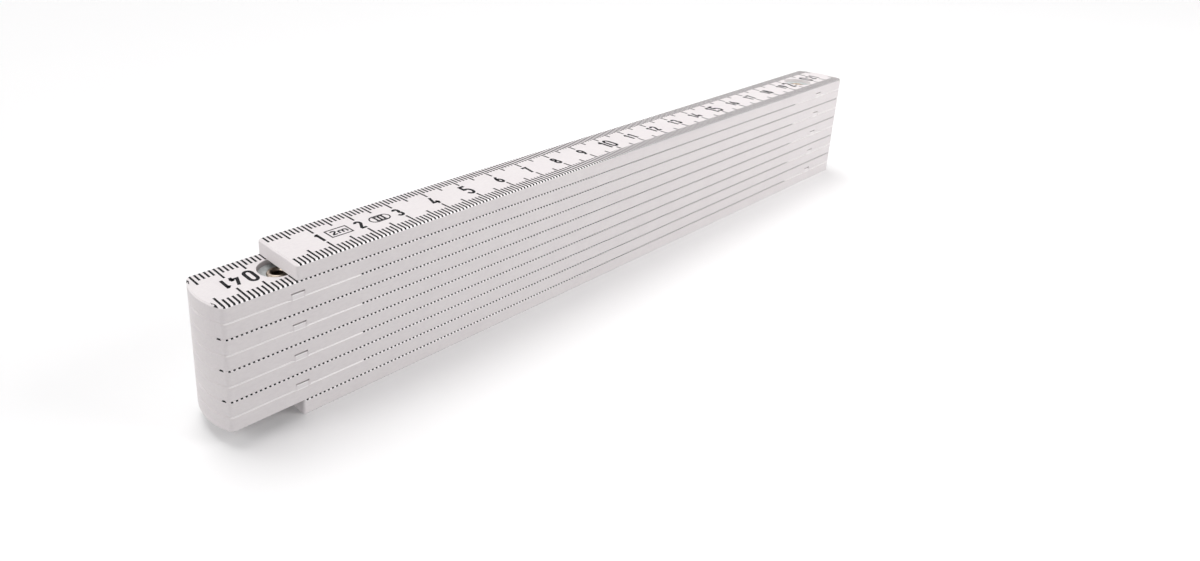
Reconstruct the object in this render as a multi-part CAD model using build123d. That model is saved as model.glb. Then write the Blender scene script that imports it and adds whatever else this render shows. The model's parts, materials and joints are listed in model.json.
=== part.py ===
"""Two metre folding rule: ten flat links of glass-fibre polyamide, stacked and hinged at alternate ends.

Millimetres, +Z up. The rule lies folded on its widest face. The origin is under the middle of the stack:
X runs along the links, Y across them, and link_01, with the zero of the scale, is on top.
Each hinge has a round boss on its lower link that turns in a round recess under its upper link. A hollow
rivet through both pulls two dished spring washers against them, each at the bottom of a round pocket in a
link's outer face.
"""

import math
import os

from build123d import *

LINK_COUNT = 10
HINGE_PITCH = 200.0  # hinge axis to hinge axis, which is 20 cm of the scale
LINK_WIDTH = 15.0
LEVEL_PITCH = 3.3  # height of one link and the gap above it
LINK_GAP = 0.06
END_REACH = 17.3  # how far a link runs past its hinge axis
END_RADIUS = 15.5  # the arc of its end, which is flatter than one about the axis would be
CORNER_RADIUS = 1.2
FLAT_END_CORNER_RADIUS = 0.6
TOP_EDGE_CHAMFER = 0.3  # it shows as a light line in the side of the stack
BOTTOM_EDGE_CHAMFER = 0.06

BOSS_RADIUS = 7.6  # a little more than half the width, so it shows as a step in each side
BOSS_HEIGHT = 0.84
RECESS_RADIUS = 7.65
RECESS_DEPTH = 1.1
DETENT_REACH = (2.9, 6.4)  # inner and outer radius of the ribs and grooves that click every 90 degrees
RIB_WIDTH = 0.9
RIB_HEIGHT = 0.28
RIB_ROOT = 0.2  # how far a rib is sunk in the link that it stands on
GROOVE_WIDTH = 1.3
GROOVE_DEPTH = 0.25

DISH_FLOOR_DEPTH = 1.3  # top of the washer's flat middle, below the link's face
DISH_RIM_DEPTH = 0.95  # above it the link's own straight wall shows
DISH_FLOOR_RADIUS = 2.4
DISH_RIM_RADIUS = 3.85
WASHER_THICKNESS = 0.25
WASHER_HOLE_RADIUS = 1.62
SEAT_GAP = 0.02  # between a washer and the link or the rivet head it bears on
SEAT_EXTRA_ANGLE = math.radians(2)  # how much further the link's seat curves up than the washer

RIVET_RADIUS = 1.55
RIVET_BORE_RADIUS = 1.15
RIVET_HEAD_RADIUS = 2.3
RIVET_HEAD_HEIGHT = 0.45
RUNNING_GAP = 0.05  # rivet in the link that turns on it
FIXED_GAP = 0.02  # rivet in the link that it stays in

LINK_THICKNESS = LEVEL_PITCH - LINK_GAP
HALF_PITCH = HINGE_PITCH / 2
HALF_WIDTH = LINK_WIDTH / 2
CUT_MARGIN = 1.0  # how far a cutting tool runs past the face it opens

DISH_ARC_RADIUS = (
    (DISH_RIM_RADIUS - DISH_FLOOR_RADIUS) ** 2 + (DISH_FLOOR_DEPTH - DISH_RIM_DEPTH) ** 2
) / (2 * (DISH_FLOOR_DEPTH - DISH_RIM_DEPTH))
DISH_ARC_ANGLE = math.asin((DISH_RIM_RADIUS - DISH_FLOOR_RADIUS) / DISH_ARC_RADIUS)


def arc_end():
    """Where the arc end at +X meets the sides, and where its middle is."""
    x_tip = HALF_PITCH + END_REACH
    return x_tip - END_RADIUS + math.sqrt(END_RADIUS**2 - HALF_WIDTH**2), x_tip


def middle_outline():
    """A link with a hinge at each end: both ends are arcs."""
    x_corner, x_tip = arc_end()
    right = ThreePointArc((x_corner, -HALF_WIDTH), (x_tip, 0), (x_corner, HALF_WIDTH))
    left = ThreePointArc((-x_corner, HALF_WIDTH), (-x_tip, 0), (-x_corner, -HALF_WIDTH))
    upper = Line((x_corner, HALF_WIDTH), (-x_corner, HALF_WIDTH))
    lower = Line((-x_corner, -HALF_WIDTH), (x_corner, -HALF_WIDTH))
    outline = make_face([right, upper, left, lower])
    return fillet(outline.vertices(), CORNER_RADIUS)


def end_outline():
    """A link with one hinge, at +X. Its other end is square, on the line where the scale starts or stops."""
    x_corner, x_tip = arc_end()
    right = ThreePointArc((x_corner, -HALF_WIDTH), (x_tip, 0), (x_corner, HALF_WIDTH))
    rest = Polyline(
        (x_corner, HALF_WIDTH),
        (-HALF_PITCH, HALF_WIDTH),
        (-HALF_PITCH, -HALF_WIDTH),
        (x_corner, -HALF_WIDTH),
    )
    outline = make_face([right, rest])
    arc_corners = outline.vertices().filter_by_position(Axis.X, 0, x_corner + 1)
    outline = fillet(arc_corners, CORNER_RADIUS)
    square_corners = outline.vertices().filter_by_position(Axis.X, -HALF_PITCH - 1, -HALF_PITCH + 1)
    return fillet(square_corners, FLAT_END_CORNER_RADIUS)


def blank(outline):
    """The plain bar, from z = 0 to its thickness, with its top and bottom edges broken all round."""
    bar = extrude(outline, LINK_THICKNESS)
    bar = chamfer(bar.faces().sort_by(Axis.Z)[-1].edges(), TOP_EDGE_CHAMFER)
    return chamfer(bar.faces().sort_by(Axis.Z)[0].edges(), BOTTOM_EDGE_CHAMFER)


def detent_bars(width, height):
    """A bar on each side of the axis along X, standing on z = 0, for a detent rib or groove."""
    inner, outer = DETENT_REACH
    length = outer - inner
    places = Locations((inner + length / 2, 0), (-inner - length / 2, 0))
    return Part() + places * extrude(SlotOverall(length, width), height)


def dish_profile(end_angle, thickness, inner_radius):
    """Half section of the dish, its flat middle and rising arc, at a thickness under the metal face."""
    centre_height = DISH_ARC_RADIUS - DISH_FLOOR_DEPTH
    radius = DISH_ARC_RADIUS + thickness

    def on_arc(angle):
        return (
            DISH_FLOOR_RADIUS + radius * math.sin(angle),
            centre_height - radius * math.cos(angle),
        )

    flat = Line((inner_radius, -DISH_FLOOR_DEPTH - thickness), on_arc(0))
    rise = ThreePointArc(on_arc(0), on_arc(end_angle / 2), on_arc(end_angle))
    return flat, rise, on_arc(end_angle)


def spring_washer():
    """The dished washer as it lies in the top face of a link whose face is at z = 0."""
    face_flat, face_rise, face_end = dish_profile(DISH_ARC_ANGLE, 0, WASHER_HOLE_RADIUS)
    back_flat, back_rise, back_end = dish_profile(DISH_ARC_ANGLE, WASHER_THICKNESS, WASHER_HOLE_RADIUS)
    hole_edge = Line(face_flat @ 0, back_flat @ 0)
    rim_edge = Line(face_end, back_end)
    section = make_face([hole_edge, face_flat, face_rise, rim_edge, back_rise, back_flat])
    return revolve(Plane.XZ * section, Axis.Z)


def dish_cut(bore_radius):
    """What is cut from a link whose face is at z = 0: the washer's seat and the rivet's hole under it."""
    wall_angle = DISH_ARC_ANGLE + SEAT_EXTRA_ANGLE
    flat, rise, wall_foot = dish_profile(wall_angle, WASHER_THICKNESS + SEAT_GAP, bore_radius)
    outline = Polyline(
        wall_foot,
        (wall_foot[0], CUT_MARGIN),
        (0, CUT_MARGIN),
        (0, -LINK_THICKNESS - CUT_MARGIN),
        (bore_radius, -LINK_THICKNESS - CUT_MARGIN),
        flat @ 0,
    )
    return revolve(Plane.XZ * make_face([flat, rise, outline]), Axis.Z)


def upper_half(link, x_hinge):
    """Makes one end of a link the upper half of a hinge: dish in the top, recess and two ribs underneath."""
    recess = extrude(Circle(RECESS_RADIUS), RECESS_DEPTH + CUT_MARGIN)
    link -= Pos(x_hinge, 0, -CUT_MARGIN) * recess
    link += Pos(x_hinge, 0, RECESS_DEPTH - RIB_HEIGHT) * detent_bars(RIB_WIDTH, RIB_HEIGHT + RIB_ROOT)
    link -= Pos(x_hinge, 0, LINK_THICKNESS) * dish_cut(RIVET_RADIUS + RUNNING_GAP)
    return link


def lower_half(link, x_hinge):
    """Makes one end of a link the lower half of a hinge: boss and four grooves on top, dish underneath."""
    disc = extrude(Circle(BOSS_RADIUS), BOSS_HEIGHT + CUT_MARGIN)
    band = Box(4 * BOSS_RADIUS, LINK_WIDTH, 4 * BOSS_RADIUS)
    link += Pos(x_hinge, 0, LINK_THICKNESS - CUT_MARGIN) * (disc & band)
    groove = Pos(x_hinge, 0, LINK_THICKNESS + BOSS_HEIGHT - GROOVE_DEPTH)
    for turn in (0, 90):
        link -= groove * Rot(0, 0, turn) * detent_bars(GROOVE_WIDTH, GROOVE_DEPTH + CUT_MARGIN)
    link -= Pos(x_hinge, 0, 0) * Rot(180, 0, 0) * dish_cut(RIVET_RADIUS + FIXED_GAP)
    return link


def rivet():
    """The hollow rivet, with its axis on Z and z = 0 at the lower link's underside."""
    upper_seat = LEVEL_PITCH + LINK_THICKNESS - DISH_FLOOR_DEPTH + SEAT_GAP
    lower_seat = DISH_FLOOR_DEPTH - SEAT_GAP
    head_middle = (RIVET_BORE_RADIUS + RIVET_HEAD_RADIUS) / 2
    section = make_face(
        [
            Line((RIVET_BORE_RADIUS, lower_seat), (RIVET_BORE_RADIUS, upper_seat)),
            ThreePointArc(
                (RIVET_BORE_RADIUS, upper_seat),
                (head_middle, upper_seat + RIVET_HEAD_HEIGHT),
                (RIVET_HEAD_RADIUS, upper_seat),
            ),
            Polyline(
                (RIVET_HEAD_RADIUS, upper_seat),
                (RIVET_RADIUS, upper_seat),
                (RIVET_RADIUS, lower_seat),
                (RIVET_HEAD_RADIUS, lower_seat),
            ),
            ThreePointArc(
                (RIVET_HEAD_RADIUS, lower_seat),
                (head_middle, lower_seat - RIVET_HEAD_HEIGHT),
                (RIVET_BORE_RADIUS, lower_seat),
            ),
        ]
    )
    return revolve(Plane.XZ * section, Axis.Z)


def level(number):
    """Height of a link's underside. Link 1 is on top."""
    return (LINK_COUNT - number) * LEVEL_PITCH


def hinge_x(number):
    """Where the hinge between a link and the next one down is: odd ones at +X, even ones at -X."""
    return HALF_PITCH if number % 2 else -HALF_PITCH


def links():
    """All ten links in place. The eight middle ones are one part, every other one turned end for end."""
    top = upper_half(blank(end_outline()), HALF_PITCH)
    bottom = lower_half(blank(end_outline()), HALF_PITCH)
    middle = lower_half(upper_half(blank(middle_outline()), -HALF_PITCH), HALF_PITCH)
    placed = {}
    for number in range(1, LINK_COUNT + 1):
        if number == 1:
            link = top
        elif number == LINK_COUNT:
            link = bottom
        else:
            turned = 180 if number % 2 else 0
            link = Rot(0, 0, turned) * middle
        placed[f"link_{number:02d}"] = Pos(0, 0, level(number)) * link
    return placed


def hinge_metal():
    """The rivet and the two spring washers of each hinge, named after the two links they join."""
    placed = {}
    for number in range(1, LINK_COUNT):
        pair = f"{number:02d}_{number + 1:02d}"
        axis = Pos(hinge_x(number), 0, level(number + 1))
        upper_face = LEVEL_PITCH + LINK_THICKNESS
        placed[f"rivet_{pair}"] = axis * rivet()
        placed[f"upper_spring_washer_{pair}"] = axis * Pos(0, 0, upper_face) * spring_washer()
        placed[f"lower_spring_washer_{pair}"] = axis * Rot(180, 0, 0) * spring_washer()
    return placed


def main():
    os.makedirs("parts", exist_ok=True)
    for name, shape in {**links(), **hinge_metal()}.items():
        export_step(shape, f"parts/{name}.step")


main()
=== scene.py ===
"""Folding rule: its print, materials, light and camera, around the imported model. Metres, +Z up.

The links, rivets and spring washers are the CAD nodes with procedural materials. What is built here is
the ink: every tick and numeral is a thin closed solid standing a few micrometres off its link's face,
one piece for each face of each link, riding on that link.
"""

import json
import math

import bpy
from mathutils import Euler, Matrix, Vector


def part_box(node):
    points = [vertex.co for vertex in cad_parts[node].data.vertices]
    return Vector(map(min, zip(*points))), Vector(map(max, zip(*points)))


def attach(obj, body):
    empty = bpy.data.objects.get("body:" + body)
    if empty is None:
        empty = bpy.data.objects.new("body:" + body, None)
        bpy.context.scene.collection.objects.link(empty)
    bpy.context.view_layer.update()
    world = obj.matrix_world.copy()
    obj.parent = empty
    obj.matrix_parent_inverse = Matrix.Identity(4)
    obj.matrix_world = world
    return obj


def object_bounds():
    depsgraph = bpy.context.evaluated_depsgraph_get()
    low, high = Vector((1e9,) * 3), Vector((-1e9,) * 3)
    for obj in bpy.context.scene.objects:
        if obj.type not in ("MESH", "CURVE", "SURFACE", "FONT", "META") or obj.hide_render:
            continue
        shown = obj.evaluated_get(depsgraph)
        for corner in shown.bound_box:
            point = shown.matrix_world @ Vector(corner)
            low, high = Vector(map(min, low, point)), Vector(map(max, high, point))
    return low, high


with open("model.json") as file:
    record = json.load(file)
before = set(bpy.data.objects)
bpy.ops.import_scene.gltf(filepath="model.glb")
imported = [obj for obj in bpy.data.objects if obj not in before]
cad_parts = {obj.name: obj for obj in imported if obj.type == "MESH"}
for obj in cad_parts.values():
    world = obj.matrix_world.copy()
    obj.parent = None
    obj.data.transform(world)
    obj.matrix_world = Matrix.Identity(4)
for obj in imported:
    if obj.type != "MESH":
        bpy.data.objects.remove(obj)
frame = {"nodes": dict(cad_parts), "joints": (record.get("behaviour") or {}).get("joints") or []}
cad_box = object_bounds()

MM = 0.001
LINK_COUNT = 10
LINK_CM = 20  # each link carries 20 cm of the scale

# The links, read from the frame
HALF_PITCH = max(joint["pos_m"][0] for joint in frame["joints"])
END_LINK_LOW, END_LINK_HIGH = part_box("link_01")
LINK_WIDTH = END_LINK_HIGH.y - END_LINK_LOW.y
LINK_THICKNESS = END_LINK_HIGH.z - END_LINK_LOW.z
LEVEL_PITCH = (END_LINK_LOW.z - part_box("link_10")[0].z) / (LINK_COUNT - 1)
END_REACH = END_LINK_HIGH.x - HALF_PITCH
END_RADIUS = 15.5 * MM
CORNER_RADIUS = 1.2 * MM
TOP_EDGE_CHAMFER = 0.3 * MM
BOTTOM_EDGE_CHAMFER = 0.06 * MM
BOSS_HEIGHT = 0.84 * MM
BOSS_HALF_CHORD = 1.23 * MM  # of the flank that shows in the side of a link

# Ink
INK_HEIGHT = 0.012 * MM
INK_ROOT = 0.03 * MM
TICK_WIDTH = 0.45 * MM
MM_TICK_INNER = 4.6 * MM  # how far from the middle line a tick starts; it ends on the broken edge
FIVE_TICK_INNER = 3.2 * MM
CM_TICK_INNER = 2.45 * MM
CM_TICK_INNER_BY_LARGE = 2.95 * MM
HINGE_TICK_INNER = 4.3 * MM  # clear of the washer's pocket
ARC_TICKS_FROM = 14.1 * MM  # past the hinge axis; ticks from here on follow the rounded end
TICK_SLICES_ON_ARC = 6
LAST_TICK_FROM = 15.5 * MM
LAST_TICK_LENGTH = 0.45 * MM  # on the face; the tick nearest the tip of the arc is only a dot
SIDE_MARGIN = 0.01 * MM  # the ink on a broken edge stops this far inside the link's side

# Numerals, outside measures. A "1" is narrower than the others
NUMERAL = {"height": 3.8 * MM, "width": 1.85 * MM, "stroke": 0.68 * MM, "gap": 0.42 * MM}
LARGE_NUMERAL = {"height": 4.9 * MM, "width": 2.3 * MM, "stroke": 0.74 * MM, "gap": 0.5 * MM}
NARROW_ONE = 0.66
NUMERAL_DROP = 0.12 * MM  # numerals sit this far below the middle line
NUMERAL_SHIFT = -0.3 * MM  # one with a single digit, or that ends in "1", sits this far before its tick
HINGE_NUMERAL_OFFSET = 5.7 * MM  # a number on a hinge is split to each side of the rivet
ARC_STEPS = 14

# The plain marks between the first numerals
MARK_LINE = 0.32 * MM
BOX_MIDDLE, BOX_HALF_WIDTH, BOX_HALF_HEIGHT = 14.5 * MM, 2.5 * MM, 1.6 * MM
BOX_STROKE = 0.42 * MM
BOX_BASELINE = -0.95 * MM
OVAL_MIDDLE, OVAL_HALF_STRAIGHT, OVAL_RADIUS = 24.85 * MM, 1.1 * MM, 1.35 * MM
BAR_HALF_HEIGHT, BAR_WIDTH, BAR_STEP = 0.95 * MM, 0.5 * MM, 0.95 * MM
SERIF_HALF_WIDTH = 1.35 * MM

# Where a face's print starts and ends, in millimetres and centimetres from its own zero
FROM_SQUARE_END, TO_SQUARE_END = (1, 1), (199, 19)
FROM_UNDER_NEIGHBOUR, TO_ARC_TIP = (15, 2), (216, 21)
UNDER_NEIGHBOUR_MM = 20  # ticks below this one come close to the arc of the link that lies over them

# Camera, in the row frame
CAMERA_PLACE = Vector((-171.2, -130.8, 106.0)) * MM
CAMERA_AZIMUTH = -39.3
CAMERA_ELEVATION = 18.3
CAMERA_LENS = 25.14
CAMERA_SENSOR = 36.0
CAMERA_SHIFT = (0.15, -0.125)

# Looks
EDGE_HIGHLIGHT_COLOUR = (0.93, 0.9, 0.9)  # painted highlight: the broken edges are coloured brighter than the faces, for the light they catch; they are also smoother
EDGE_POLISH = -0.22  # added to the faces' roughness
BEVEL_LEAN = (1.15, 1.38)  # the |Y| + Z of a normal where an edge's painted highlight starts, and where it is full
RIM_HALF_WIDTH = 0.11 * MM  # of the painted highlight line along the top and the foot of a boss's flank
FLANK_SHARE = 0.22  # how far a boss's flank goes towards the painted highlight colour

# Floor and light
FLOOR_HALF_SIDE = 12.0
SKY_STRENGTH = 1.4
SKY_FRONT = (0.178, 0.177, 0.181)
SKY_BACK = (0.959, 0.959, 0.959)
HORIZON = (0.857, 0.857, 0.857)
HORIZON_FADE = (0.1, 0.16)  # its white fades out between these heights
HORIZON_DIP = 0.04  # the white of the horizon reaches this far below it, behind the floor's far edge
GLOW_FRONT = (0.698, 0.696, 0.7)
GLOW_BACK = (0.143, 0.142, 0.144)


# ---------------------------------------------------------------- ink solids


class Ink:
    """Collects the ink of one face. Local axes: t along the scale, v up the numerals, w out of the face."""

    def __init__(self):
        self.points = []
        self.faces = []

    def loft(self, places, sections):
        """A solid through (v, w) sections at places along the scale."""
        first = len(self.points)
        count = len(sections[0])
        last = first + count * (len(places) - 1)
        for t, section in zip(places, sections):
            self.points += [(t, v, w) for v, w in section]
        self.faces.append([first + i for i in reversed(range(count))])
        self.faces.append([last + i for i in range(count)])
        for near in range(first, last, count):
            for i in range(count):
                j = (i + 1) % count
                self.faces.append([near + i, near + j, near + count + j, near + count + i])

    def ribbon(self, line, width, closed=False):
        """A stroke of constant width along a line of (t, v) points."""
        first = len(self.points)
        count = len(line)
        for i in range(count):
            before = line[i - 1] if i or closed else None
            after = line[(i + 1) % count] if i < count - 1 or closed else None
            across = mitre(before, line[i], after)
            for side, w in ((-1, -INK_ROOT), (1, -INK_ROOT), (1, INK_HEIGHT), (-1, INK_HEIGHT)):
                t = line[i][0] + side * across[0] * width / 2
                v = line[i][1] + side * across[1] * width / 2
                self.points.append((t, v, w))
        for i in range(count if closed else count - 1):
            near, far = first + 4 * i, first + 4 * ((i + 1) % count)
            for a in range(4):
                b = (a + 1) % 4
                self.faces.append([near + a, near + b, far + b, far + a])
        if not closed:
            last = first + 4 * (count - 1)
            self.faces.append([first + 3, first + 2, first + 1, first])
            self.faces.append([last, last + 1, last + 2, last + 3])

    def piece(self, name, place, body):
        """Makes the mesh object. place turns a local point into a point in the row frame."""
        mesh = bpy.data.meshes.new(name)
        mesh.from_pydata([place(*point) for point in self.points], [], self.faces)
        mesh.validate()
        mesh.update()
        made = bpy.data.objects.new(name, mesh)
        bpy.context.scene.collection.objects.link(made)
        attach(made, body)
        return made


def mitre(before, point, after):
    """Across a line at one of its points, long enough that both strokes that meet there keep their width."""
    normals = []
    for a, b in ((before, point), (point, after)):
        if a and b:
            length = math.hypot(b[0] - a[0], b[1] - a[1])
            normals.append(((a[1] - b[1]) / length, (b[0] - a[0]) / length))
    if len(normals) == 1:
        return normals[0]
    total = (normals[0][0] + normals[1][0], normals[0][1] + normals[1][1])
    scale = 2 / (total[0] ** 2 + total[1] ** 2)
    return total[0] * scale, total[1] * scale


# ---------------------------------------------------------------- numerals


def arc(centre, radii, start, end):
    """Points on an ellipse's arc, in degrees, clockwise when end is below start."""
    turns = [math.radians(start + (end - start) * i / ARC_STEPS) for i in range(ARC_STEPS + 1)]
    return [(centre[0] + radii[0] * math.cos(a), centre[1] + radii[1] * math.sin(a)) for a in turns]


def bend(start, control, end):
    """Points on a curve that leaves start and meets end in the directions of control."""
    shares = [i / ARC_STEPS for i in range(ARC_STEPS + 1)]
    return [
        tuple((1 - s) ** 2 * a + 2 * s * (1 - s) * b + s * s * c for a, b, c in zip(start, control, end))
        for s in shares
    ]


def ring(centre, radii):
    return arc(centre, radii, 360, 0)[:-1]


def glyph(sign):
    """The strokes of a sign as (line, closed), in a cell one wide and one high between stroke middles."""
    round_end = 0.5 * NUMERAL["width"] / NUMERAL["height"]
    bowl = ring((0.5, 0.29), (0.5, 0.29))
    stem = bend((0.8, 1), (0, 0.66), (0, 0.29))
    table = {
        "0": [(arc((0.5, 1 - round_end), (0.5, round_end), 180, 0)
               + arc((0.5, round_end), (0.5, round_end), 0, -180), True)],
        "1": [([(1, 1.07), (1, -0.07)], False), ([(1, 0.97), (0, 0.78)], False)],
        "2": [(arc((0.5, 0.76), (0.5, 0.24), 172, -38) + [(0, 0.02)], False),
              ([(-0.12, 0), (1.08, 0)], False)],
        "3": [(arc((0.47, 0.75), (0.45, 0.25), 165, -90), False),
              (arc((0.47, 0.26), (0.53, 0.26), 90, -165), False)],
        "4": [([(0.84, 0.44), (0.84, -0.07)], False), ([(0.62, 1.07), (-0.1, 0.22), (1.26, 0.22)], False)],
        "5": [([(0.98, 1), (0.1, 1), (0.04, 0.5)], False), (arc((0.45, 0.3), (0.55, 0.3), 138, -160), False)],
        "6": [(bowl, True), (stem, False)],
        "7": [([(-0.1, 1), (1, 1), (0.36, -0.06)], False)],
        "8": [(ring((0.5, 0.76), (0.42, 0.24)), True), (ring((0.5, 0.27), (0.5, 0.27)), True)],
        "9": [([(1 - t, 1 - v) for t, v in bowl], True), ([(1 - t, 1 - v) for t, v in stem], False)],
        "m": [([(0, -0.08), (0, 1.08)], False),
              (arc((0.25, 0.72), (0.25, 0.28), 170, 0) + [(0.5, -0.08)], False),
              (arc((0.75, 0.72), (0.25, 0.28), 170, 0) + [(1, -0.08)], False)],
    }
    return table[sign]


def draw_sign(ink, sign, left, bottom, width, height, stroke):
    """Draws a sign in a box of outside measures whose lower left corner is (left, bottom)."""
    for line, closed in glyph(sign):
        placed = [
            (left + stroke / 2 + t * (width - stroke), bottom + stroke / 2 + v * (height - stroke))
            for t, v in line
        ]
        ink.ribbon(placed, stroke, closed)


def draw_number(ink, text, t_middle, style):
    """A number centred on a place along the scale."""
    widths = [style["width"] * (NARROW_ONE if sign == "1" else 1) for sign in text]
    left = t_middle - (sum(widths) + style["gap"] * (len(text) - 1)) / 2
    bottom = -style["height"] / 2 - NUMERAL_DROP
    for sign, width in zip(text, widths):
        draw_sign(ink, sign, left, bottom, width, style["height"], style["stroke"])
        left += width + style["gap"]


def draw_length_mark(ink):
    """The plain "2 m" in a box that says how long the rule is."""
    left, right = BOX_MIDDLE - BOX_HALF_WIDTH, BOX_MIDDLE + BOX_HALF_WIDTH
    top, bottom = BOX_HALF_HEIGHT, -BOX_HALF_HEIGHT
    ink.ribbon([(left, bottom), (left, top), (right, top), (right, bottom)], MARK_LINE, closed=True)
    draw_sign(ink, "2", BOX_MIDDLE - 1.95 * MM, BOX_BASELINE, 1.4 * MM, 1.95 * MM, BOX_STROKE)
    draw_sign(ink, "m", BOX_MIDDLE - 0.3 * MM, BOX_BASELINE, 2.3 * MM, 1.5 * MM, BOX_STROKE)


def draw_class_mark(ink):
    """The accuracy class, three bars with serifs in an oval."""
    oval = arc((OVAL_MIDDLE + OVAL_HALF_STRAIGHT, 0), (OVAL_RADIUS, OVAL_RADIUS), 90, -90)
    oval += arc((OVAL_MIDDLE - OVAL_HALF_STRAIGHT, 0), (OVAL_RADIUS, OVAL_RADIUS), -90, -270)
    ink.ribbon(oval, MARK_LINE, closed=True)
    for step in (-1, 0, 1):
        t = OVAL_MIDDLE + step * BAR_STEP
        ink.ribbon([(t, -BAR_HALF_HEIGHT), (t, BAR_HALF_HEIGHT)], BAR_WIDTH)
    for v in (-BAR_HALF_HEIGHT, BAR_HALF_HEIGHT):
        ink.ribbon([(OVAL_MIDDLE - SERIF_HALF_WIDTH, v), (OVAL_MIDDLE + SERIF_HALF_WIDTH, v)], MARK_LINE)


# ---------------------------------------------------------------- the scale


def tick_section(past_hinge, inner, chamfer):
    """The (v, w) section of a tick at a distance past the hinge axis: over the face, down the broken edge."""
    face_end = half_width_at(past_hinge, chamfer)
    end = half_width_at(past_hinge, SIDE_MARGIN)
    drop = chamfer - SIDE_MARGIN
    start = face_end - LAST_TICK_LENGTH if past_hinge > LAST_TICK_FROM else inner
    return [
        (start, -INK_ROOT),
        (start, INK_HEIGHT),
        (face_end, INK_HEIGHT),
        (end, INK_HEIGHT - drop),
        (end - INK_ROOT, -INK_ROOT - drop),
        (face_end - INK_ROOT, -INK_ROOT),
    ]


def draw_tick(ink, t, inner, chamfer):
    """A tick on each edge of the face. Near the tip of the arc its outer end follows the arc."""
    slices = TICK_SLICES_ON_ARC if t > 2 * HALF_PITCH + ARC_TICKS_FROM else 1
    places = [t + TICK_WIDTH * (i / slices - 0.5) for i in range(slices + 1)]
    sections = [tick_section(place - 2 * HALF_PITCH, inner, chamfer) for place in places]
    ink.loft(places, [[(-v, w) for v, w in section] for section in sections])
    ink.loft(places, [section[::-1] for section in sections])


def tick_inner(millimetre, large):
    """Where a tick starts, from its place in the centimetre."""
    if millimetre % 10 == 0:
        return CM_TICK_INNER_BY_LARGE if large else CM_TICK_INNER
    return FIVE_TICK_INNER if millimetre % 5 == 0 else MM_TICK_INNER


def half_width_at(distance, inset=0.0):
    """Half the width of a link at a distance past its hinge axis, with its outline drawn in by inset."""
    radius, corner_radius = END_RADIUS - inset, CORNER_RADIUS - inset
    centre = END_REACH - END_RADIUS
    inner_radius = END_RADIUS - CORNER_RADIUS
    corner_y = LINK_WIDTH / 2 - CORNER_RADIUS
    corner_x = centre + math.sqrt(inner_radius**2 - corner_y**2)
    corner_end = centre + (corner_x - centre) * radius / inner_radius
    if distance <= corner_x:
        return LINK_WIDTH / 2 - inset
    if distance <= corner_end:
        return corner_y + math.sqrt(corner_radius**2 - (distance - corner_x) ** 2)
    return math.sqrt(max(0.0, radius**2 - (distance - centre) ** 2))


def draw_ticks(ink, first_mm, last_mm, base_cm, chamfer):
    """All the ticks of one face. Places count in millimetres from the hinge or square end where it starts."""
    pitch_mm = round(2 * HALF_PITCH / MM)
    for millimetre in range(first_mm, last_mm + 1):
        large = (base_cm * 10 + millimetre) % 50 == 0
        inner = tick_inner(millimetre, large)
        if millimetre == pitch_mm:
            inner = HINGE_TICK_INNER
        if first_mm > 1 and millimetre < UNDER_NEIGHBOUR_MM:
            inner = max(inner, half_width_at(millimetre * MM))
        draw_tick(ink, millimetre * MM, inner, chamfer)


def draw_numbers(ink, first_cm, last_cm, base_cm):
    """All the numbers of one face. The one on its far hinge is split to each side of the rivet."""
    for centimetre in range(first_cm, last_cm + 1):
        text = str(base_cm + centimetre)
        middle = centimetre * 10 * MM
        if len(text) == 1 or text[-1] == "1":
            middle += NUMERAL_SHIFT
        if centimetre == LINK_CM:
            draw_number(ink, text[:-1], middle - HINGE_NUMERAL_OFFSET, LARGE_NUMERAL)
            draw_number(ink, text[-1], middle + HINGE_NUMERAL_OFFSET, LARGE_NUMERAL)
        else:
            large = (base_cm + centimetre) % 5 == 0
            draw_number(ink, text, middle, LARGE_NUMERAL if large else NUMERAL)


def face_ink(order, chamfer):
    """The ink of the face that comes at this place along the open rule, counted from 1."""
    ink = Ink()
    base_cm = (order - 1) * LINK_CM
    first_mm, first_cm = FROM_SQUARE_END if order == 1 else FROM_UNDER_NEIGHBOUR
    last_mm, last_cm = TO_SQUARE_END if order == LINK_COUNT else TO_ARC_TIP
    draw_ticks(ink, first_mm, last_mm, base_cm, chamfer)
    draw_numbers(ink, first_cm, last_cm, base_cm)
    return ink


def face_place(order, height, outward):
    """From local ink places to the row frame. Every second link runs the other way when folded."""
    along = 1 if order % 2 else -1

    def place(t, v, w):
        return Vector((along * (t - HALF_PITCH), along * outward * v, height + outward * w))

    return place


def print_scales(material):
    """The front scale starts on link_01. The back one starts on link_10 and runs the other way."""
    for number in range(1, LINK_COUNT + 1):
        body = f"link_{number:02d}"
        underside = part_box(body)[0].z
        front = face_ink(number, TOP_EDGE_CHAMFER)
        back = face_ink(LINK_COUNT + 1 - number, BOTTOM_EDGE_CHAMFER)
        if number == 1:
            draw_length_mark(front)
            draw_class_mark(front)
        front_place = face_place(number, underside + LINK_THICKNESS, 1)
        back_place = face_place(LINK_COUNT + 1 - number, underside, -1)
        for ink, side, place in ((front, "front", front_place), (back, "back", back_place)):
            made = ink.piece(f"scale_print_{side}_{number:02d}", place, body)
            made.data.materials.append(material)


# ---------------------------------------------------------------- materials


def new_material(name, colour, roughness, metallic=0.0):
    """A material with a Principled shader, and its nodes and links."""
    material = bpy.data.materials.new(name)
    material.use_nodes = True
    nodes, links = material.node_tree.nodes, material.node_tree.links
    shader = nodes["Principled BSDF"]
    shader.inputs["Base Color"].default_value = (*colour, 1)
    shader.inputs["Roughness"].default_value = roughness
    shader.inputs["Metallic"].default_value = metallic
    place = nodes.new("ShaderNodeTexCoord").outputs["Object"]
    return material, nodes, links, shader, place


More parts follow.
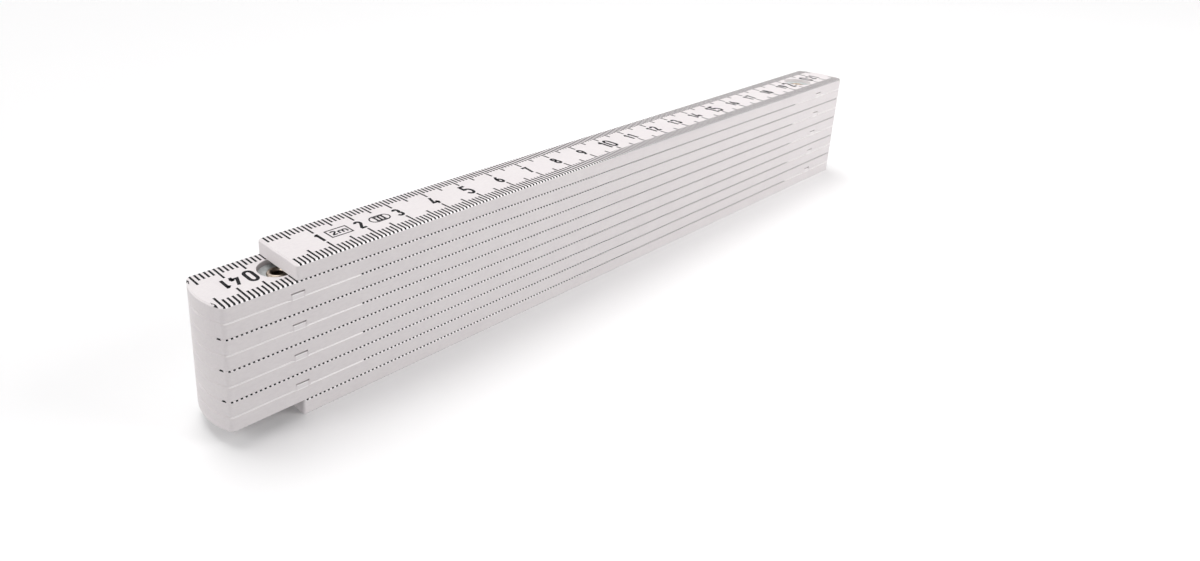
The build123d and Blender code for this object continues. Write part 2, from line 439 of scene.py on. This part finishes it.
def noise(nodes, links, place, scale, detail=2.0, stretch=(1, 1, 1)):
    """Noise with features of about 1 / scale metres."""
    mapping = nodes.new("ShaderNodeMapping")
    mapping.inputs["Scale"].default_value = stretch
    links.new(place, mapping.inputs["Vector"])
    texture = nodes.new("ShaderNodeTexNoise")
    texture.inputs["Scale"].default_value = scale
    texture.inputs["Detail"].default_value = detail
    links.new(mapping.outputs["Vector"], texture.inputs["Vector"])
    return texture.outputs["Fac"]


def ramp(nodes, links, value, low, high, low_colour, high_colour):
    """A colour between two, as a value goes from low to high."""
    made = nodes.new("ShaderNodeValToRGB")
    first, second = made.color_ramp.elements
    first.position, second.position = low, high
    first.color, second.color = (*low_colour, 1), (*high_colour, 1)
    links.new(value, made.inputs["Fac"])
    return made.outputs["Color"]


def mix(nodes, links, kind, share, first, second):
    """Two colours mixed, with kind a blend type and share a number or an output."""
    made = nodes.new("ShaderNodeMix")
    made.data_type = "RGBA"
    made.blend_type = kind
    if isinstance(share, float):
        made.inputs["Factor"].default_value = share
    else:
        links.new(share, made.inputs["Factor"])
    links.new(first, made.inputs["A"])
    links.new(second, made.inputs["B"])
    return made.outputs["Result"]


def bump(nodes, links, height, distance, strength, normal=None):
    made = nodes.new("ShaderNodeBump")
    made.inputs["Distance"].default_value = distance
    made.inputs["Strength"].default_value = strength
    links.new(height, made.inputs["Height"])
    if normal:
        links.new(normal, made.inputs["Normal"])
    return made.outputs["Normal"]


def calculate(nodes, links, operation, *values):
    """A maths node's output. Each value is a number or an output."""
    made = nodes.new("ShaderNodeMath")
    made.operation = operation
    for value, socket in zip(values, made.inputs):
        if isinstance(value, (int, float)):
            socket.default_value = value
        else:
            links.new(value, socket)
    return made.outputs["Value"]


def plastic_material():
    """White glass-fibre polyamide: faint clouding, fibre flecks, moulding grain, and a painted highlight on
    the broken edges and the bosses' flanks.
    """
    material, nodes, links, shader, place = new_material("link_polyamide", (0.76, 0.72, 0.723), 0.5)
    cloud = ramp(nodes, links, noise(nodes, links, place, 140, 3), 0.3, 0.7,
                 (0.748, 0.706, 0.711), (0.772, 0.732, 0.734))
    flecks = ramp(nodes, links, noise(nodes, links, place, 2600, 2, (0.4, 1, 1)), 0.35, 0.62,
                  (0.965, 0.962, 0.965), (1, 1, 1))
    body = mix(nodes, links, "MULTIPLY", 1.0, cloud, flecks)
    # painted highlight: a brighter colour is mixed in on the broken edges and the bosses' flanks for the
    # light they catch; their roughness is lower there too
    painted_highlight = nodes.new("ShaderNodeRGB").outputs["Color"]
    painted_highlight.default_value = (*EDGE_HIGHLIGHT_COLOUR, 1)
    highlight_mask = calculate(nodes, links, "MAXIMUM", painted_bevel_highlight(nodes, links), painted_flank_highlight(nodes, links, place))
    links.new(mix(nodes, links, "MIX", highlight_mask, body, painted_highlight), shader.inputs["Base Color"])
    gloss = nodes.new("ShaderNodeMapRange")
    gloss.inputs["To Min"].default_value = 0.42
    gloss.inputs["To Max"].default_value = 0.6
    links.new(noise(nodes, links, place, 420, 3), gloss.inputs["Value"])
    roughness = calculate(nodes, links, "MULTIPLY_ADD", highlight_mask, EDGE_POLISH, gloss.outputs["Result"])
    links.new(roughness, shader.inputs["Roughness"])
    grain = bump(nodes, links, noise(nodes, links, place, 5200, 2), 0.012 * MM, 0.5)
    waves = bump(nodes, links, noise(nodes, links, place, 160, 1), 0.03 * MM, 0.35, grain)
    links.new(waves, shader.inputs["Normal"])
    shader.inputs["IOR"].default_value = 1.53
    return material


def painted_bevel_highlight(nodes, links):
    """One where the broken top edge along each side of a link gets its painted highlight, and zero elsewhere.

    There the normal leans to the side and up by 45 degrees, so its parts along Y and Z add up to most.
    """
    split = nodes.new("ShaderNodeSeparateXYZ")
    links.new(nodes.new("ShaderNodeTexCoord").outputs["Normal"], split.inputs["Vector"])
    sideways = calculate(nodes, links, "ABSOLUTE", split.outputs["Y"])
    total = calculate(nodes, links, "ADD", sideways, split.outputs["Z"])
    share = nodes.new("ShaderNodeMapRange")
    share.inputs["From Min"].default_value, share.inputs["From Max"].default_value = BEVEL_LEAN
    links.new(total, share.inputs["Value"])
    return share.outputs["Result"]


def painted_flank_highlight(nodes, links, place):
    """One on the painted highlight lines at the top and foot of a boss's flank, a weaker painted highlight
    between them, and zero elsewhere.

    The bosses stand on every second link at the right, from link_10 up, and on the others at the left.
    """
    split = nodes.new("ShaderNodeSeparateXYZ")
    links.new(place, split.inputs["Vector"])
    from_middle = calculate(nodes, links, "ABSOLUTE", split.outputs["X"])
    at_hinge = calculate(nodes, links, "COMPARE", from_middle, HALF_PITCH, BOSS_HALF_CHORD)
    sideways = calculate(nodes, links, "ABSOLUTE", split.outputs["Y"])
    at_side = calculate(nodes, links, "COMPARE", sideways, LINK_WIDTH / 2, RIM_HALF_WIDTH)
    on_left = calculate(nodes, links, "LESS_THAN", split.outputs["X"], 0)
    height = calculate(nodes, links, "MULTIPLY_ADD", on_left, LEVEL_PITCH, split.outputs["Z"])
    height = calculate(nodes, links, "MODULO", height, 2 * LEVEL_PITCH)
    top, foot = LINK_THICKNESS + BOSS_HEIGHT, LINK_THICKNESS - TOP_EDGE_CHAMFER
    lowest, highest = foot - RIM_HALF_WIDTH, END_LINK_LOW.z + BOSS_HEIGHT
    on_stack = calculate(
        nodes, links, "COMPARE", split.outputs["Z"], (highest + lowest) / 2, (highest - lowest) / 2
    )
    # painted highlight lines at the top and foot of the flank, and a fainter painted highlight on the flank
    # between them
    lines = [
        calculate(nodes, links, "COMPARE", height, level, RIM_HALF_WIDTH)
        for level in (top - RIM_HALF_WIDTH, foot)
    ]
    flank = calculate(nodes, links, "COMPARE", height, (top + foot) / 2, (top - foot) / 2)
    flank = calculate(nodes, links, "MULTIPLY", flank, FLANK_SHARE)
    share = calculate(nodes, links, "MAXIMUM", flank, calculate(nodes, links, "MAXIMUM", *lines))
    for limit in (at_hinge, at_side, on_stack):
        share = calculate(nodes, links, "MULTIPLY", share, limit)
    return share


def ink_material():
    """Black print, a little rough, thinner in specks."""
    material, nodes, links, shader, place = new_material("scale_ink", (0.012, 0.012, 0.014), 0.7)
    specks = ramp(nodes, links, noise(nodes, links, place, 4200, 2), 0.35, 0.75,
                  (0.008, 0.008, 0.01), (0.03, 0.03, 0.033))
    links.new(specks, shader.inputs["Base Color"])
    shader.inputs["Specular IOR Level"].default_value = 0.1
    links.new(bump(nodes, links, noise(nodes, links, place, 6500), 0.004 * MM, 0.4), shader.inputs["Normal"])
    return material


def turned_rings(nodes, links, place, x_hinge, scale):
    """Fine rings round a hinge axis."""
    centred = nodes.new("ShaderNodeVectorMath")
    centred.operation = "SUBTRACT"
    links.new(place, centred.inputs[0])
    centred.inputs[1].default_value = (x_hinge, 0, 0)
    waves = nodes.new("ShaderNodeTexWave")
    waves.wave_type = "RINGS"
    waves.rings_direction = "Z"
    waves.inputs["Scale"].default_value = scale
    waves.inputs["Distortion"].default_value = 1.5
    links.new(centred.outputs["Vector"], waves.inputs["Vector"])
    return waves.outputs["Fac"]


def washer_material(name, x_hinge):
    """Stamped spring steel: blue-grey, satin, with drawing marks round the dish."""
    material, nodes, links, shader, place = new_material(name, (0.5, 0.53, 0.525), 0.5, 0.9)
    tone = ramp(nodes, links, noise(nodes, links, place, 900, 3), 0.3, 0.7,
                (0.46, 0.49, 0.487), (0.58, 0.605, 0.6))
    links.new(tone, shader.inputs["Base Color"])
    rings = turned_rings(nodes, links, place, x_hinge, 1500)
    links.new(bump(nodes, links, rings, 0.004 * MM, 0.35), shader.inputs["Normal"])
    return material


def rivet_material(name, x_hinge):
    """Nickel-plated rivet, warm grey, with tool marks round the rolled head."""
    material, nodes, links, shader, place = new_material(name, (0.4, 0.34, 0.28), 0.3, 1.0)
    tone = ramp(nodes, links, noise(nodes, links, place, 1500, 3), 0.3, 0.72,
                (0.24, 0.2, 0.16), (0.56, 0.48, 0.4))
    links.new(tone, shader.inputs["Base Color"])
    rings = turned_rings(nodes, links, place, x_hinge, 2600)
    links.new(bump(nodes, links, rings, 0.006 * MM, 0.4), shader.inputs["Normal"])
    return material


def finish_cad_nodes():
    """Gives every CAD node its material. The metal's rings are centred on its own hinge axis."""
    plastic = plastic_material()
    metals = {}
    for end, x_hinge in (("right", HALF_PITCH), ("left", -HALF_PITCH)):
        metals["washer", end] = washer_material(f"spring_steel_{end}", x_hinge)
        metals["rivet", end] = rivet_material(f"rivet_metal_{end}", x_hinge)
    for name, node in frame["nodes"].items():
        end = "right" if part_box(name)[0].x > 0 else "left"
        if name.startswith("link"):
            material = plastic
        elif name.startswith("rivet"):
            material = metals["rivet", end]
        else:
            material = metals["washer", end]
        node.data.materials.clear()
        node.data.materials.append(material)


# ---------------------------------------------------------------- studio


def floor():
    """A wide white floor under the rule."""
    half = FLOOR_HALF_SIDE
    level = cad_box[0].z
    mesh = bpy.data.meshes.new("floor")
    mesh.from_pydata(
        [(-half, -half, level), (half, -half, level), (half, half, level), (-half, half, level)],
        [], [(0, 1, 2, 3)],
    )
    made = bpy.data.objects.new("floor", mesh)
    bpy.context.scene.collection.objects.link(made)
    material, _, _, shader, _ = new_material("floor_white", (0.95, 0.95, 0.95), 0.8)
    shader.inputs["Specular IOR Level"].default_value = 0.0
    mesh.materials.append(material)
    made.visible_diffuse = False  # the glow from below lights the rule in its place
    made.visible_shadow = False


def sky():
    """Soft light from all round: a white horizon, a sky that is brighter behind the rule, and from below a
    glow that stands for what a white table sends back, brighter in front of the rule."""
    world = bpy.data.worlds.new("studio")
    world.use_nodes = True
    nodes, links = world.node_tree.nodes, world.node_tree.links
    split = nodes.new("ShaderNodeSeparateXYZ")
    links.new(nodes.new("ShaderNodeTexCoord").outputs["Generated"], split.inputs["Vector"])
    above = ramp(nodes, links, split.outputs["Y"], 0.0, 1.0, SKY_FRONT, SKY_BACK)
    horizon = ramp(nodes, links, split.outputs["Z"], *HORIZON_FADE, HORIZON, (0, 0, 0))
    above = mix(nodes, links, "LIGHTEN", 1.0, above, horizon)
    frontness = calculate(nodes, links, "MULTIPLY", split.outputs["Y"], -1)
    below = ramp(nodes, links, frontness, 0.0, 1.0, GLOW_BACK, GLOW_FRONT)
    is_above = calculate(nodes, links, "GREATER_THAN", split.outputs["Z"], -HORIZON_DIP)
    colour = mix(nodes, links, "MIX", is_above, below, above)
    links.new(colour, nodes["Background"].inputs["Color"])
    nodes["Background"].inputs["Strength"].default_value = SKY_STRENGTH
    bpy.context.scene.world = world


def area_light(name, place, target, size, power, colour):
    """A square soft light that points at a target."""
    data = bpy.data.lights.new(name, "AREA")
    data.size, data.energy, data.color = size, power, colour
    made = bpy.data.objects.new(name, data)
    made.location = place
    made.rotation_euler = (Vector(target) - Vector(place)).to_track_quat("-Z", "Y").to_euler()
    bpy.context.scene.collection.objects.link(made)
    return made


def sun(name, place, width, strength, colour):
    """A very large soft light, as wide as seen from the rule as its angle in degrees."""
    data = bpy.data.lights.new(name, "SUN")
    data.angle, data.energy, data.color = math.radians(width), strength, colour
    made = bpy.data.objects.new(name, data)
    made.rotation_euler = (-Vector(place)).to_track_quat("-Z", "Y").to_euler()
    bpy.context.scene.collection.objects.link(made)


def lights():
    """A wide one overhead, one from the left, a fill at the front right, and a glint for the broken edges."""
    sun("overhead", (0, 0.35, 1), 34, 1.144, (1, 0.99, 0.985))
    sun("left", (-1, 0.1, 0.6), 34, 1.068, (1, 0.99, 0.99))
    area_light("front_right", (0.16, -0.27, 0.2), (0.07, 0, 0.01), 0.2, 0.62, (1, 0.985, 0.98))
    glint = area_light("glint", (0.235, -0.19, 0.487), (-0.09, 0, 0.02), 0.3, 1.7, (1, 1, 1))
    glint.visible_diffuse = False


def camera():
    data = bpy.data.cameras.new("camera")
    data.lens, data.sensor_width = CAMERA_LENS, CAMERA_SENSOR
    data.shift_x, data.shift_y = CAMERA_SHIFT
    data.clip_start, data.clip_end = 0.005, 20.0
    made = bpy.data.objects.new("camera", data)
    made.location = CAMERA_PLACE
    made.rotation_euler = Euler(
        (math.radians(90 - CAMERA_ELEVATION), 0, math.radians(CAMERA_AZIMUTH)), "XYZ"
    )
    bpy.context.scene.collection.objects.link(made)
    bpy.context.scene.camera = made


bpy.context.scene.view_settings.view_transform = "Standard"
finish_cad_nodes()
print_scales(ink_material())
floor()
sky()
lights()
camera()
